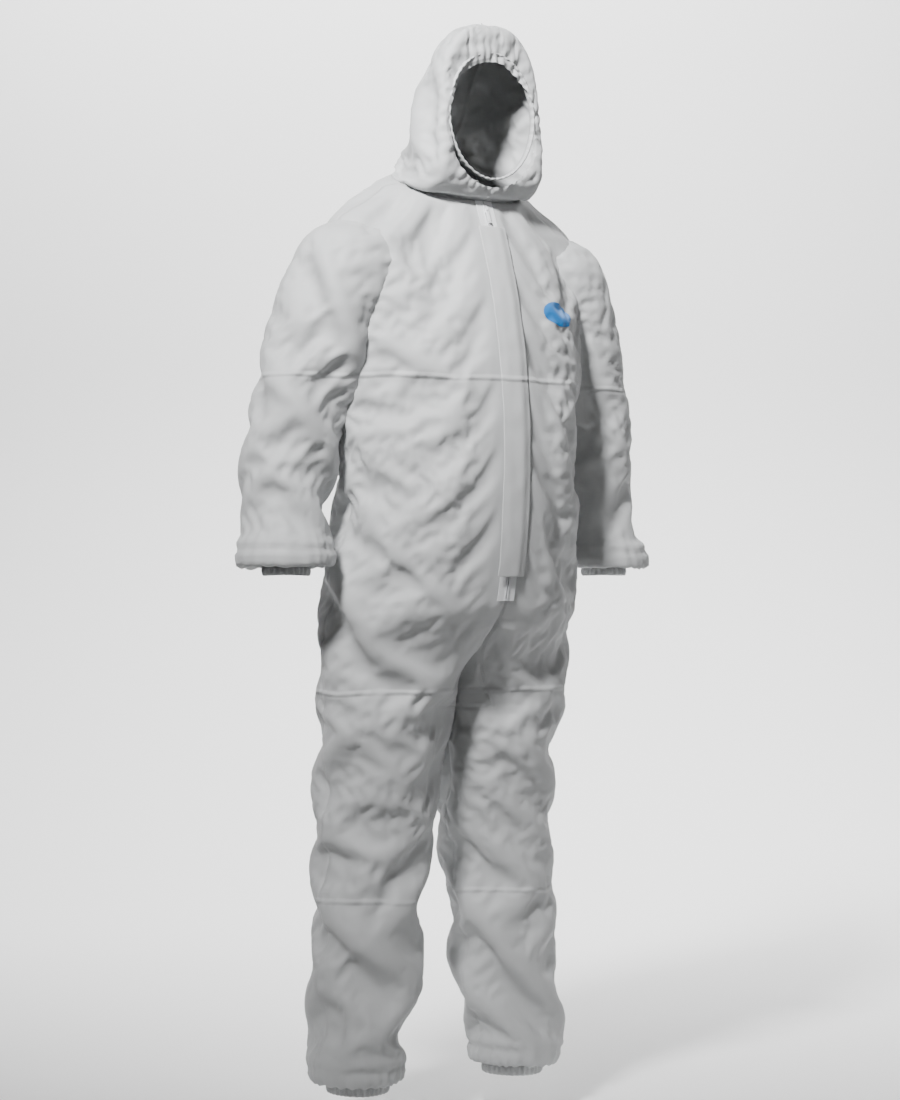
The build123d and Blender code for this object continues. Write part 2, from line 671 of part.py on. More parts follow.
def build():
    """Every named piece of the suit."""
    parts = body_panels()
    parts.update(hood_panels())
    parts["face_hem"], parts["face_elastic"] = face_hem()
    for side, sign in (("left", 1.0), ("right", -1.0)):
        ankle = (sign * ANKLE_CENTRE[0], ANKLE_CENTRE[1])
        wrist = (sign * WRIST_CENTRE[0], WRIST_CENTRE[1])
        hem, elastic = round_hem(ankle, 0.0, ANKLE_RADIUS, ANKLE_HEM_HEIGHT)
        parts["ankle_hem_" + side] = hem
        parts["ankle_elastic_" + side] = elastic
        hem, elastic = round_hem(wrist, WRIST_HEIGHT, WRIST_RADIUS, WRIST_HEM_HEIGHT)
        parts["wrist_hem_" + side] = hem
        parts["wrist_elastic_" + side] = elastic
    parts.update(zip_parts())
    parts["zip_slider"] = slider()
    parts["zip_pull_tab"] = pull_tab()
    parts["storm_flap"] = storm_flap()
    parts["chest_badge"] = chest_badge()
    neck = NECK_HEIGHT
    parts["care_label"] = lining_strip(LABEL_THICK, (-LABEL_HALF, 0.0, neck - LABEL_LENGTH),
                                       (LABEL_HALF, REACH, neck - 1.0))
    waist_top = WAIST_HEIGHT + WAIST_ELASTIC_WIDTH
    parts["waist_elastic"] = lining_strip(WAIST_ELASTIC_THICK, (-REACH, 40.0, WAIST_HEIGHT),
                                          (REACH, REACH, waist_top))
    return parts


os.makedirs("parts", exist_ok=True)
for node, shape in build().items():
    export_step(shape, os.path.join("parts", node + ".step"))
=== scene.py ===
import json
import math

import bmesh
import bpy
import numpy as np
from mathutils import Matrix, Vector, noise
from mathutils.bvhtree import BVHTree
from mathutils.kdtree import KDTree


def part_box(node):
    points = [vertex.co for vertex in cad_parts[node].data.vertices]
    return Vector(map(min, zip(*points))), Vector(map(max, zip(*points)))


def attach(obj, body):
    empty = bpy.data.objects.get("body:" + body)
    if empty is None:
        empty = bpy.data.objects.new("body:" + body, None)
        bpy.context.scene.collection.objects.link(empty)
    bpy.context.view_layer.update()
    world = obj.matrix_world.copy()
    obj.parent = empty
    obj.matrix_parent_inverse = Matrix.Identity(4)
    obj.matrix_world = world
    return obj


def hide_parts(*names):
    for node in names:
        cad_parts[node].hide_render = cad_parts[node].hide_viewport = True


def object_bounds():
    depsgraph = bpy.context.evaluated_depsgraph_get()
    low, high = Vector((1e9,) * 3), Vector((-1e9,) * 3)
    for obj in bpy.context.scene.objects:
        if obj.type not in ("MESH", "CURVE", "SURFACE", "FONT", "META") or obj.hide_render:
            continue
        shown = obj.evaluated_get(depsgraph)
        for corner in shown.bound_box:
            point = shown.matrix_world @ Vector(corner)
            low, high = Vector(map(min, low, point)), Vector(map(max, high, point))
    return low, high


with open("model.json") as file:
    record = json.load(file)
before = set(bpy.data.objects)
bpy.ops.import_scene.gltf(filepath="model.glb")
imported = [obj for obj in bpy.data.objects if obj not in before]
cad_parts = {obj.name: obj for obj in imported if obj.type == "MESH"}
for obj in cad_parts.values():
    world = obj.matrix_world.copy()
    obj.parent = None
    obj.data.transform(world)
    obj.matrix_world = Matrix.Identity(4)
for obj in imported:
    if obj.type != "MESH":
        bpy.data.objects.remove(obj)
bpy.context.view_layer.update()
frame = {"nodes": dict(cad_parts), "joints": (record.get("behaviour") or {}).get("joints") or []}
nodes = frame["nodes"]

# Sizes in metres. The neck seam is at the origin; X is the wearer's left, -Y the front, +Z up.
CROTCH_TOP = -0.728
CROTCH_FOOT = -0.801
GUSSET_TOP = -0.731
GUSSET_FOOT = -0.825
GUSSET_HALF = 0.046
HOOD_STRIP_HALF = 0.044
PACK_CREASES = (-0.318, -0.811, -1.144)
NECK_Z = 0.0065
NECK_SLOPE = 0.42
TORSO_Y = 0.02
FLY_FOOT = -0.70

# Half width of the torso where the sleeve hides it, by height.
SHOULDER_Z = (-0.303, -0.223, -0.163, -0.118, -0.081, -0.053, -0.032, -0.016, -0.004, 0.005)
SHOULDER_X = (0.215, 0.224, 0.232, 0.236, 0.236, 0.224, 0.199, 0.168, 0.136, 0.106)

# Points round half the body, the sleeve and the hood, and the height of a row.
HALF_COLUMNS = 34
TUBE_COLUMNS = 52
HOOD_COLUMNS = 96
ROW_STEP = 0.0095
MIDLINE_GAP = 0.0004

# Share of extra cloth in each direction, first in large folds and then in small creases.
FABRIC_GROWTH = 0.022
FINE_GROWTH = 0.016
SAG = 0.00005
FIRM = 0.013

# Each panel's number is its place here.
PANELS = ["front_left", "front_right", "back_left", "back_right", "crotch_gusset",
          "sleeve_left", "sleeve_right", "hood_left_panel", "hood_right_panel",
          "hood_centre_panel"]
(FRONT_LEFT, FRONT_RIGHT, BACK_LEFT, BACK_RIGHT, GUSSET,
 SLEEVE_LEFT, SLEEVE_RIGHT, HOOD_LEFT, HOOD_RIGHT, HOOD_CENTRE) = range(len(PANELS))


X_WAY = Vector((1.0, 0.0, 0.0))
Y_WAY = Vector((0.0, 1.0, 0.0))


# ---------------------------------------------------------------- reading the CAD shapes
def shell(*names):
    """One ray-casting tree over several CAD nodes."""
    points, faces = [], []
    for name in names:
        mesh = nodes[name].data
        start = len(points)
        points += [v.co.copy() for v in mesh.vertices]
        faces += [[start + i for i in p.vertices] for p in mesh.polygons]
    return BVHTree.FromPolygons(points, faces)


def filled(radii):
    """Radii round a ring with the missing ones read from their neighbours."""
    known = np.flatnonzero(~np.isnan(radii))
    if len(known) == 0:
        return np.full(len(radii), 0.05)
    count = len(radii)
    wide = np.concatenate([known - count, known, known + count])
    return np.interp(np.arange(count), wide, np.tile(radii[known], 3))


def ring(tree, centre, across, forward, reach, limit=None, guess=None, count=180):
    """Points where rays aimed at the centre first meet the cloth, in one plane."""
    radii = np.full(count, np.nan)
    for k in range(count):
        angle = math.tau * k / count
        way = across * math.cos(angle) + forward * math.sin(angle)
        span = reach
        if limit:
            span = min(reach, limit(centre, way))
        hit = tree.ray_cast(centre + way * span, -way, span)
        if hit[0] is not None:
            radii[k] = span - hit[3]
        elif span < reach:
            radii[k] = span
        elif guess:
            radii[k] = guess(angle)
    radii = filled(radii)
    angles = math.tau * np.arange(count) / count
    a, f, c = np.array(across), np.array(forward), np.array(centre)
    return (c + np.outer(radii * np.cos(angles), a) + np.outer(radii * np.sin(angles), f))


def smoothed(values, passes):
    """Values along the first axis, evened out."""
    values = np.array(values, float)
    for _ in range(passes):
        inner = 0.25 * values[:-2] + 0.5 * values[1:-1] + 0.25 * values[2:]
        values[1:-1] = inner
    return values


def stretch(points, count):
    """The same open curve with evenly spaced points."""
    points = np.asarray(points)
    steps = np.linalg.norm(np.diff(points, axis=0), axis=1)
    along = np.concatenate([[0.0], np.cumsum(steps)])
    wanted = np.linspace(0.0, along[-1], count)
    return np.stack([np.interp(wanted, along, points[:, k]) for k in range(3)], axis=1)


def seam_heights():
    """Height and Y of the side seam, from the edge of the left front."""
    points = np.array([v.co[:] for v in nodes["front_left"].data.vertices])
    heights, ys = [], []
    for low in np.arange(-1.43, -0.30, 0.03):
        band = points[(points[:, 2] >= low) & (points[:, 2] < low + 0.03)]
        if len(band):
            heights.append(low + 0.015)
            ys.append(band[:, 1].max())
    heights.append(0.0)
    ys.append(0.008)
    return np.array(heights), smoothed(ys, 2)


SEAM_Z, SEAM_Y = seam_heights()


def seam_y(z):
    return float(np.interp(z, SEAM_Z, SEAM_Y))


def around(points, centre, start, end, count):
    """Part of a closed ring from one angle to another, evenly spaced."""
    rel = points - centre
    radii_angles = np.arctan2(rel[:, 1], rel[:, 0])
    order = np.argsort(radii_angles)
    angles = radii_angles[order]
    base = points[order]
    wide = np.concatenate([angles - math.tau, angles, angles + math.tau])
    wanted = np.linspace(start, end, 120)
    out = [np.interp(wanted, wide, np.tile(base[:, k], 3)) for k in range(3)]
    return stretch(np.stack(out, axis=1), count)


def side_angle(points, centre, level, towards_inside=False):
    """Angle at which the ring crosses the seam's Y on its outer or inner side."""
    rel = points - centre
    far = rel[:, 0] < 0 if towards_inside else rel[:, 0] > 0
    choice = np.where(far, np.abs(points[:, 1] - level), 9.0)
    k = int(np.argmin(choice))
    return math.atan2(rel[k, 1], rel[k, 0])


def torso_slope(z):
    """How steeply a ring rises towards the back, near the neck."""
    return NECK_SLOPE * max(0.0, (z + 0.118) / 0.123) ** 1.5


def halfway(values):
    return 0.5 * (values.min() + values.max())


def torso_row(tree, z):
    """Half a ring of the torso, from the centre front round the side seam to the centre back."""
    reach = 0.5
    middle = Vector((0.0, TORSO_Y, z))
    forward = Vector((0.0, 1.0, torso_slope(z))).normalized()
    points = ring(tree, middle, X_WAY, forward, reach)
    depth = 0.5 * (points[:, 1].max() - points[:, 1].min())
    middle.y = halfway(points[:, 1])
    middle.z += torso_slope(z) * (middle.y - TORSO_Y)
    width = float(np.interp(z, SHOULDER_Z, SHOULDER_X))

    def egg(angle):
        if abs(math.sin(angle)) > 0.9:
            return np.nan
        return 1.0 / math.hypot(math.cos(angle) / width, math.sin(angle) / depth)

    points = ring(tree, middle, X_WAY, forward, reach, guess=egg)
    centre = np.array([0.0, halfway(points[:, 1]), z])
    side = side_angle(points, centre, seam_y(z))
    front = around(points, centre, -0.5 * math.pi, side, HALF_COLUMNS + 1)
    back = around(points, centre, side, 0.5 * math.pi, HALF_COLUMNS + 1)
    row = np.concatenate([front, back[1:]])
    row[:, 0] = np.maximum(row[:, 0], 0.0)
    row[0, 0] = row[-1, 0] = 0.0
    return row


def leg_rows(tree, heights):
    """Rings of the left leg by row number, each from the inner leg round the front and back."""
    reach = 0.19

    def inside(centre, way):
        if way.x >= -1e-4:
            return reach
        return (centre.x - MIDLINE_GAP) / -way.x

    legs = {}
    ankle_low, ankle_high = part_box("ankle_hem_left")
    centre = 0.5 * (ankle_low + ankle_high)
    for k in range(len(heights) - 1, -1, -1):
        z = float(heights[k])
        if z > CROTCH_TOP + 0.03:
            break
        centre.z = z
        points = ring(tree, centre, X_WAY, Y_WAY, reach, inside)
        middle = np.array([halfway(points[:, 0]), halfway(points[:, 1]), z])
        centre = Vector(middle)
        level = seam_y(z)
        outer = side_angle(points, middle, level)
        inner = side_angle(points, middle, level, True)
        inner = inner if inner < 0 else inner - math.tau
        front = around(points, middle, inner, outer, HALF_COLUMNS + 1)
        back = around(points, middle, outer, inner + math.tau, HALF_COLUMNS + 1)
        row = np.concatenate([front, back[1:]])
        row[:, 0] = np.maximum(row[:, 0], MIDLINE_GAP)
        row[-1] = row[0]
        legs[k] = row
    return legs


def even_crotch(grid, heights):
    """The saddle between the legs, smoothed down its rows."""
    band = [k for k, z in enumerate(heights) if CROTCH_FOOT - 0.07 <= z <= CROTCH_TOP + 0.05]
    for _ in range(30):
        for k in band:
            evened = (grid[k - 1] + 2.0 * grid[k] + grid[k + 1]) / 4.0
            evened[:, 2] = heights[k]
            evened[:, 0] = np.maximum(evened[:, 0], MIDLINE_GAP)
            if heights[k] > CROTCH_FOOT:
                evened[0, 0] = evened[-1, 0] = 0.0
            else:
                evened[-1] = evened[0]
            grid[k] = evened
    return grid


def body_grid():
    """Rows of points over the wearer's left half, from the neck to the ankle."""
    tree = shell(*PANELS[:SLEEVE_LEFT])
    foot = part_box("ankle_hem_left")[1].z
    heights = np.linspace(NECK_Z, foot + 0.001, int((NECK_Z - foot) / ROW_STEP) + 1)
    legs = leg_rows(tree, heights)
    top_row = torso_row(tree, CROTCH_TOP)
    grid = []
    for k, z in enumerate(heights):
        if z > CROTCH_TOP:
            grid.append(torso_row(tree, float(z)))
        elif z < CROTCH_FOOT:
            grid.append(legs[k])
        else:
            share = (CROTCH_TOP - z) / (CROTCH_TOP - CROTCH_FOOT)
            share = share * share * (3 - 2 * share)
            upper = top_row.copy()
            upper[:, 2] = z
            grid.append(upper * (1 - share) + legs[k] * share)
    return even_crotch(np.array(grid), heights)


def sleeve_grid():
    """Rings from the wrist up into the shoulder, on the wearer's left."""
    tree = shell("sleeve_left")
    low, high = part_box("wrist_hem_left")
    centre = Vector(((low.x + high.x) / 2, (low.y + high.y) / 2, high.z + 0.0006))
    rows = []
    reach = 0.125
    shoulder = -0.128
    for _ in range(200):
        lean = math.radians(np.interp(centre.z, [-0.36, -0.27, -0.19, -0.13, -0.09],
                                      [3.0, 13.0, 24.0, 37.0, 46.0]))
        across = Vector((math.cos(lean), 0.0, math.sin(lean)))
        up = Vector((-math.sin(lean), 0.0, math.cos(lean)))
        points = ring(tree, centre, across, Y_WAY, reach)
        side = (points - np.array(centre)) @ np.array(across)
        deep = points[:, 1]
        shift = 0.5 * (side.min() + side.max())
        centre = centre + across * (shift * (0.0 if centre.z > -0.30 else 0.6))
        centre.y += 0.6 * (0.5 * (deep.min() + deep.max()) - centre.y)
        closed = np.concatenate([points, points[:1]])
        rows.append(stretch(closed, TUBE_COLUMNS + 1)[:-1])
        if centre.z > shoulder:
            break
        centre = centre + up * ROW_STEP
    last = rows[-1]
    middle = last.mean(axis=0)
    for k in range(1, 9):
        share = k / 8
        move = np.array([-0.074 * share, -0.006 * share, 0.060 * share - 0.006 * share ** 2])
        scale = 1.0 - 0.10 * share - 0.46 * share ** 2
        rows.append(middle + (last - middle) * scale + move)
    rows = np.array(rows)
    rows[1:] = smoothed(rows[1:], 2)
    return rows[::-1]


def hood_grid(neck):
    """Rings from the neck to the crown, closed across the face; the first is the neck seam."""
    tree = shell(*PANELS[HOOD_LEFT:], "face_hem")
    face_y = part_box("face_hem")[0].y
    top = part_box("hood_centre_panel")[1].z
    reach = 0.3
    rows = []
    heights = list(np.arange(0.0135, top - 0.012, 0.0085)) + [top - 0.012, top - 0.005, top - 0.0008]

    def to_plane(centre, way):
        if way.y >= -1e-4:
            return reach
        return (face_y - centre.y) / way.y

    for z in heights:
        share = max(0.0, 1.0 - z / 0.2)
        slope = NECK_SLOPE * share ** 1.6
        forward = Vector((0.0, 1.0, slope)).normalized()
        back = tree.ray_cast(Vector((0.0, reach, z + 0.02)), -Y_WAY, 0.5)
        y_back = back[0].y if back[0] else 0.0
        centre = Vector((0.0, 0.5 * (face_y + y_back), z))
        points = ring(tree, centre, X_WAY, forward, reach, to_plane)
        closed = np.concatenate([points[135:], points[:136]])
        rows.append(stretch(closed, HOOD_COLUMNS + 1)[:-1])
    loop = np.concatenate([neck, mirrored(neck)[::-1][1:]])
    seam = stretch(loop, HOOD_COLUMNS + 1)[:-1]
    seam[:, 2] += 0.0004
    rows = [seam] + rows
    last = rows[-1]
    middle = last.mean(axis=0)
    middle[2] = top
    for share in (0.72, 0.45, 0.2):
        rows.append(middle + (last - middle) * share)
    rows = np.array(rows)
    for _ in range(7):
        rest = rows[1:]
        rows[1:] = 0.25 * np.roll(rest, 1, axis=1) + 0.5 * rest + 0.25 * np.roll(rest, -1, axis=1)
        rows = smoothed(rows, 1)
    return rows


def quads(rows, columns, start, closed, flip):
    """Faces over a grid of points."""
    faces = []
    span = columns if closed else columns - 1
    for i in range(rows - 1):
        for j in range(span):
            a = start + i * columns + j
            b = start + i * columns + (j + 1) % columns
            c, d = b + columns, a + columns
            faces.append((a, d, c, b) if flip else (a, b, c, d))
    return faces


def mirrored(points):
    return points * np.array([-1.0, 1.0, 1.0])


# ---------------------------------------------------------------- the whole suit as one cloth
def nearest(points):
    """A tree that finds the nearest of the points."""
    tree = KDTree(len(points))
    for k, p in enumerate(points):
        tree.insert(p, k)
    tree.balance()
    return tree


def build_cloth():
    """All the fabric as one mesh, with the panel of every face and the points of the underarm line
    marked.
    """
    points, faces, labels = [], [], []

    def add(grid, closed, flip, label):
        rows, columns = grid.shape[:2]
        start = sum(len(p) for p in points)
        points.append(grid.reshape(-1, 3))
        new = quads(rows, columns, start, closed, flip)
        faces.extend(new)
        span = columns if closed else columns - 1
        labels.extend(label(k % span) for k in range(len(new)))

    body = body_grid()
    add(body, False, True, lambda j: FRONT_LEFT if j < HALF_COLUMNS else BACK_LEFT)
    add(mirrored(body), False, False, lambda j: FRONT_RIGHT if j < HALF_COLUMNS else BACK_RIGHT)
    sleeve = sleeve_grid()
    add(sleeve, True, True, lambda j: SLEEVE_LEFT)
    add(mirrored(sleeve), True, False, lambda j: SLEEVE_RIGHT)
    hood = hood_grid(body[0])
    add(hood, True, False, lambda j: HOOD_CENTRE)
    last = hood[-1]
    top = sum(len(p) for p in points)
    points.append(last.mean(axis=0, keepdims=True))
    for j in range(HOOD_COLUMNS):
        faces.append((top - HOOD_COLUMNS + j, top - HOOD_COLUMNS + (j + 1) % HOOD_COLUMNS, top))
        labels.append(HOOD_CENTRE)
    mesh = bpy.data.meshes.new("cloth")
    mesh.from_pydata(np.concatenate(points).tolist(), [], faces)
    mesh.attributes.new("panel", "INT", "FACE").data.foreach_set("value", labels)
    bm = bmesh.new()
    bm.from_mesh(mesh)
    bmesh.ops.remove_doubles(bm, verts=bm.verts, dist=0.0002)
    bm.to_mesh(mesh)
    bm.free()
    line = sleeve[:, TUBE_COLUMNS // 2]
    tree = nearest([Vector(p) for p in np.concatenate([line, mirrored(line)])])
    marks = [1.0 if tree.find(v.co)[2] < 1e-5 else 0.0 for v in mesh.vertices]
    mesh.attributes.new("underarm", "FLOAT", "POINT").data.foreach_set("value", marks)
    obj = bpy.data.objects.new("cloth", mesh)
    bpy.context.scene.collection.objects.link(obj)
    return obj


cloth = build_cloth()


# ---------------------------------------------------------------- folds from a small cloth solver
def positions(mesh):
    flat = np.zeros(len(mesh.vertices) * 3)
    mesh.vertices.foreach_get("co", flat)
    return flat.reshape(-1, 3)


def smooth_step(value, low, high):
    t = np.clip((value - low) / (high - low), 0.0, 1.0)
    return t * t * (3 - 2 * t)


def held_share(p):
    """How firmly each point is held: hems, seams, the zip and the neck stay put."""
    x, y, z = p[:, 0], p[:, 1], p[:, 2]
    side = np.abs(x)
    hold = np.full(len(p), 0.012)
    ankle_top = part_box("ankle_hem_left")[1].z
    wrist_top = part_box("wrist_hem_left")[1].z
    hold = np.maximum(hold, 1.0 - smooth_step(z, ankle_top + 0.002, ankle_top + 0.012))

    def firmer(where, share):
        return np.where(where, np.maximum(hold, share), hold)

    is_wrist = (side > 0.25) & (z < wrist_top + 0.05)
    hold = firmer(is_wrist, 1.0 - smooth_step(z, wrist_top + 0.001, wrist_top + 0.012))
    plane = np.abs(z - NECK_SLOPE * (y - TORSO_Y) - NECK_Z)
    hold = firmer((plane < 0.012) & (side < 0.15), 1.0 - smooth_step(plane, 0.003, 0.012))
    front = (y < 0.0) & (z < -0.02) & (z > -0.668)
    hold = firmer(front, 1.0 - smooth_step(side, 0.020, 0.036))
    middle = (side < 0.002) & (z < -0.66)
    hold = np.where(middle, 0.5, hold)
    return np.where(hold > FIRM, hold, 0.0)


def edge_lists(mesh):
    """Edges of the cloth, the diagonals of its faces, and pairs two edges apart."""
    pairs = np.zeros(len(mesh.edges) * 2, int)
    mesh.edges.foreach_get("vertices", pairs)
    pairs = pairs.reshape(-1, 2)
    crossing = []
    for face in mesh.polygons:
        if len(face.vertices) == 4:
            a, b, c, d = face.vertices
            crossing += [(a, c), (b, d)]
    bm = bmesh.new()
    bm.from_mesh(mesh)
    spans, links = [], []
    for vert in bm.verts:
        around_it = vert.link_edges
        if len(around_it) != 4 or len(vert.link_faces) != 4:
            continue
        for k, edge in enumerate(around_it):
            for other in around_it[k + 1:]:
                if not set(edge.link_faces) & set(other.link_faces):
                    ends = (edge.other_vert(vert).index, other.other_vert(vert).index)
                    spans.append(ends)
                    links.append((ends[0], ends[1], vert.index))
    bm.free()
    beyond = {}
    for a, b, v in links:
        beyond[(a, v)] = b
        beyond[(b, v)] = a
    far = []
    for (a, v), b in beyond.items():
        path = [a, v, b]
        while len(path) < 6 and (path[-2], path[-1]) in beyond:
            path.append(beyond[(path[-2], path[-1])])
        if len(path) == 6 and path[0] < path[-1]:
            far.append((path[0], path[-1]))
    return pairs, np.array(crossing), np.array(spans), np.array(far)


def scatter(count, index, values):
    return np.stack([np.bincount(index, values[:, k], count) for k in range(3)], axis=1)


def settle(base, target, hold, mesh, growth, rounds, strengths=(1.0, 0.5, 0.8, 0.5), attract=0.004):
    """Cloth with more length than its frame buckles, sags a little and comes to rest."""
    structure, crossing, spans, far = edge_lists(mesh)
    count = len(base)
    groups = []
    for pairs, strength in zip((structure, crossing, spans, far), strengths):
        i, j = pairs[:, 0], pairs[:, 1]
        line = base[j] - base[i]
        rest = np.linalg.norm(line, axis=1)
        grow = 0.5 * (growth[i] + growth[j])
        groups.append((i, j, rest * (1.0 + grow), strength))
    i_all = np.concatenate([g[0] for g in groups])
    j_all = np.concatenate([g[1] for g in groups])
    rest_all = np.concatenate([g[2] for g in groups])
    strength = np.concatenate([np.full(len(g[0]), g[3]) for g in groups])
    weight = np.bincount(i_all, strength, count) + np.bincount(j_all, strength, count)
    weight = np.maximum(weight, 1e-6)[:, None]
    held = hold[:, None]
    p = target.copy()
    before = p.copy()
    fall = np.array([0.0, 0.0, -SAG])
    for _ in range(rounds):
        speed = (p - before) * 0.93
        before = p.copy()
        p = p + speed + fall
        for _ in range(4):
            line = p[j_all] - p[i_all]
            length = np.linalg.norm(line, axis=1)
            share = (0.5 * strength * (length - rest_all) / np.maximum(length, 1e-6))[:, None] * line
            push = scatter(count, i_all, share) - scatter(count, j_all, share)
            p = p + push * (2.6 / weight)
        p = p + (target - p) * np.maximum(held, attract)
    return p


def normals_of(mesh):
    flat = np.zeros(len(mesh.vertices) * 3)
    mesh.vertices.foreach_get("normal", flat)
    return flat.reshape(-1, 3)


def noise_field(points, size, seed):
    """Smooth random values, about -1 to 1, that change over a given distance."""
    shift = Vector((seed * 7.3, seed * 3.1, seed * 5.7))
    return np.array([noise.noise(Vector(p) / size + shift) for p in points])


# Folds seen from the wearer's front right: start and end as distance across that view and height,
# then half width and how far the cloth stands out (or sinks in, below zero).
VIEW_ACROSS = Vector((0.819, -0.574, 0.0))
VIEW_AHEAD = Vector((0.574, 0.819, 0.0))
FOLDS = [
    ((-0.244, -0.121), (-0.181, -0.311), 0.015, -0.015),
    ((-0.215, -0.110), (-0.158, -0.290), 0.014, 0.009),
    ((-0.262, -0.255), (-0.181, -0.350), 0.013, -0.014),
    ((-0.300, -0.300), (-0.215, -0.385), 0.012, 0.008),
    ((-0.322, -0.400), (-0.212, -0.425), 0.009, -0.007),
    ((-0.326, -0.440), (-0.206, -0.462), 0.008, -0.007),
    ((-0.326, -0.478), (-0.206, -0.494), 0.008, -0.006),
    ((-0.197, -0.603), (-0.133, -0.729), 0.014, 0.010),
    ((-0.133, -0.729), (0.017, -0.823), 0.014, 0.010),
    ((-0.205, -0.640), (-0.140, -0.765), 0.012, -0.010),
    ((-0.140, -0.765), (0.005, -0.850), 0.012, -0.011),
    ((-0.190, -0.500), (-0.110, -0.468), 0.012, -0.009),
    ((-0.180, -0.545), (-0.060, -0.625), 0.011, -0.008),
    ((-0.120, -0.560), (0.010, -0.680), 0.011, 0.007),
    ((-0.015, -0.800), (-0.028, -0.985), 0.014, -0.012),
    ((-0.220, -1.052), (-0.062, -1.092), 0.011, -0.009),
    ((-0.215, -1.025), (-0.100, -1.060), 0.011, 0.007),
    ((-0.212, -1.178), (-0.118, -1.281), 0.014, -0.014),
    ((-0.225, -1.150), (-0.110, -1.235), 0.012, 0.009),
    ((-0.178, -1.249), (-0.176, -1.391), 0.008, 0.008),
    ((0.001, -1.139), (0.143, -1.313), 0.014, 0.011),
    ((0.020, -1.180), (0.125, -1.350), 0.012, -0.010),
    ((0.040, -1.090), (0.150, -1.160), 0.012, -0.009),
    ((0.198, -0.190), (0.222, -0.382), 0.012, -0.010),
    ((0.182, -0.415), (0.253, -0.397), 0.010, -0.008),
    ((-0.118, -0.245), (-0.020, -0.300), 0.014, 0.006),
    ((-0.160, -0.345), (-0.030, -0.385), 0.011, -0.006),
    ((-0.165, -0.395), (-0.040, -0.372), 0.010, 0.006),
    ((-0.060, 0.190), (-0.072, 0.010), 0.011, 0.007),
    ((-0.040, 0.170), (-0.050, 0.020), 0.010, -0.006),
]


def fold_height(base, out):
    """How far the listed folds move each point along its normal."""
    across = base @ np.array(VIEW_ACROSS)
    facing = smooth_step(out @ -np.array(VIEW_AHEAD), 0.0, 0.35)
    total = np.zeros(len(base))
    for start, end, half_width, rise in FOLDS:
        a, b = np.array(start), np.array(end)
        along = b - a
        length = np.linalg.norm(along)
        rel = np.stack([across, base[:, 2]], axis=1) - a
        t = (rel @ along) / length ** 2
        off = np.abs(rel[:, 0] * along[1] - rel[:, 1] * along[0]) / length
        taper = smooth_step(t, -0.12, 0.18) * (1.0 - smooth_step(t, 0.82, 1.12))
        total += rise * taper * np.exp(-((off / half_width) ** 2))
    return total * facing


def calm_by_fly(rest, far):
    """Share of the folds that is kept, which falls to nothing at the zip and its flap."""
    near = (rest[:, 1] < 0.0) & (rest[:, 2] < -0.02) & (rest[:, 2] > FLY_FOOT)
    return np.where(near, smooth_step(np.abs(rest[:, 0]), 0.03, far), 1.0)


def move_cloth(mesh, rest, moved):
    """Puts the cloth where it came to rest, with each half on its own side of the middle."""
    gap = 0.0006
    moved[:, 0] = np.where(rest[:, 0] > 1e-4, np.maximum(moved[:, 0], gap), moved[:, 0])
    moved[:, 0] = np.where(rest[:, 0] < -1e-4, np.minimum(moved[:, 0], -gap), moved[:, 0])
    mesh.vertices.foreach_set("co", moved.ravel())
    mesh.update()


def simulate(obj):
    """Extra cloth in every direction buckles into folds and hangs under its own weight."""
    base = positions(obj.data)
    hold = held_share(base)
    out = normals_of(obj.data)
    stretched = base * np.array([1.0, 1.0, 0.7])
    bump = 0.013 * noise_field(stretched, 0.12, 1) + 0.004 * noise_field(base, 0.05, 2)
    bump = np.where(base[:, 2] > 0.01, 0.45 * bump, bump)
    bump += fold_height(base, out)
    target = base + out * (bump * (1.0 - hold) * calm_by_fly(base, 0.10))[:, None]
    growth = FABRIC_GROWTH * (1.0 + 0.6 * noise_field(base, 0.2, 3))
    growth = np.where(base[:, 2] > 0.01, 0.5 * growth, growth)
    moved = settle(base, target, hold, obj.data, growth, 80)
    fold = moved - base
    rise = np.sum(fold * out, axis=1)
    down = smooth_step(base[:, 2], -0.74, -0.64) * (base[:, 1] < 0.0)
    cap = 0.03 - down * 0.0285 * (1.0 - smooth_step(np.abs(base[:, 0]), 0.06, 0.16))
    fold -= out * np.maximum(rise - cap, 0.0)[:, None]
    move_cloth(obj.data, base, base + fold)
    return base


def keep_rest(obj, rest):
    obj.data.attributes.new("rest", "FLOAT_VECTOR", "POINT").data.foreach_set("vector", rest.ravel())


def subdivide(obj):
    """Splits every face of the cloth once, smoothly."""
    finer = obj.modifiers.new("finer", "SUBSURF")
    finer.levels = finer.render_levels = 1
    graph = bpy.context.evaluated_depsgraph_get()
    result = obj.evaluated_get(graph)
    mesh = bpy.data.meshes.new_from_object(result, preserve_all_data_layers=True, depsgraph=graph)
    obj.modifiers.remove(finer)
    obj.data = mesh


def sharpened(points, mesh, amount):
    """Ridges and valleys made crisper: detail smaller than a few centimetres stands out more."""
    pairs = np.zeros(len(mesh.edges) * 2, int)
    mesh.edges.foreach_get("vertices", pairs)
    i, j = pairs[0::2], pairs[1::2]
    count = len(points)
    linked = np.maximum(np.bincount(i, minlength=count) + np.bincount(j, minlength=count), 1)[:, None]
    soft = points.copy()
    for _ in range(9):
        soft = 0.5 * soft + 0.5 * (scatter(count, i, soft[j]) + scatter(count, j, soft[i])) / linked
    detail = points - soft
    size = np.linalg.norm(detail, axis=1, keepdims=True)
    detail *= np.minimum(1.0, 0.006 / np.maximum(size, 1e-6))
    return points + detail * amount[:, None]


